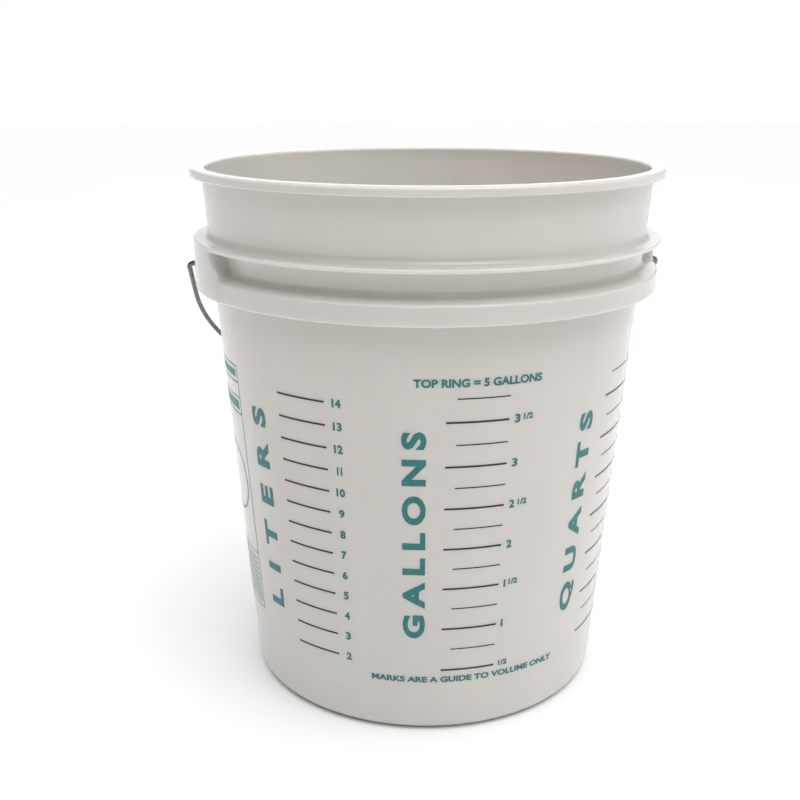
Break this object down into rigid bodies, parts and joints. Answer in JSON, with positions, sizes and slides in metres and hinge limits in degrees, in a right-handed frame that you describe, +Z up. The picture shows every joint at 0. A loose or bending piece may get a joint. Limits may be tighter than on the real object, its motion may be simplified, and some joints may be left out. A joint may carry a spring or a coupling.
{
  "type": "plastic fermenting bucket",
  "caption": "Open tapered round plastic bucket with a turned-down rim, a stiffening ring, a skirt, side ears and a swinging wire bail with a plastic grip.",
  "frame": {"origin": "centre of the underside, on the flat that the bucket stands on", "axes": "+Z up through the open mouth; +X through the ears along the bail's axis; -Y the side that the printed gallon scale faces"},
  "size_m": [0.3366, 0.3255, 0.369],
  "materials": {
    "natural_plastic": "translucent natural polyethylene, semi-gloss",
    "zinc_wire": "drawn zinc-plated steel, bright",
    "grip_plastic": "moulded white plastic, satin",
    "scale_ink_teal": "screen-printed ink, satin",
    "scale_ink_dark": "screen-printed ink, satin"
  },
  "bodies": {
    "pail": {"pail_body": "natural_plastic"},
    "bail": {"bail_wire": "zinc_wire"},
    "grip": {"bail_grip": "grip_plastic"}
  },
  "joints": [
    {"name": "bail_swing", "type": "hinge", "parent": "pail", "child": "bail", "pos_m": [0, 0, 0.302], "axis": [1, 0, 0], "range_deg": [0, 260]},
    {"name": "grip_spin", "type": "hinge", "parent": "bail", "child": "grip", "pos_m": [0, 0.15259, 0.17396], "axis": [1, 0, 0], "continuous": true}
  ]
}
